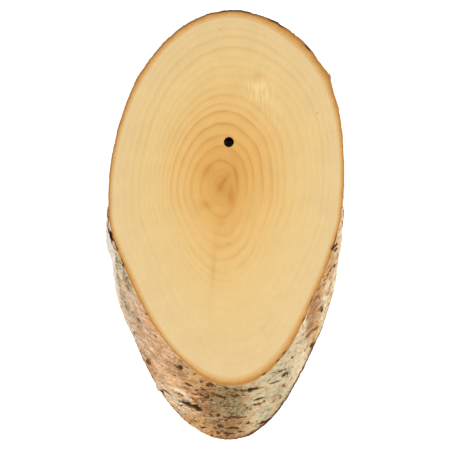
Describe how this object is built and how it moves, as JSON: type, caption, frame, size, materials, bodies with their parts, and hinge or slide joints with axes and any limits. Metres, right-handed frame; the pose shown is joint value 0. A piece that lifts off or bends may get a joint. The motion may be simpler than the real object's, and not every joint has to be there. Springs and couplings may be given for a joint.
{
  "type": "birch wood slice",
  "caption": "Slant-cut slab of a birch log with long oval sawn faces, growth rings, papery bark round its sloping edge and a drilled through hole.",
  "frame": {"origin": "the middle of the slice's underside: the centre of its outer box, on the plane of the lower sawn face", "axes": "+Z out of the upper sawn face; +Y along the long oval, towards the end where the upper face overhangs the lower one; the bark slopes out towards -Y; +X to the right as the upper face is seen with +Y up"},
  "size_m": [0.144, 0.2646, 0.027],
  "materials": {
    "sawn_birch": "fine-sawn and sanded end grain, matt, cream to honey with growth rings",
    "birch_bark": "papery birch bark, matt, cream, salmon and grey with dark breathing pores"
  },
  "bodies": {
    "root": {"birch_slice": "sawn_birch"}
  },
  "joints": []
}
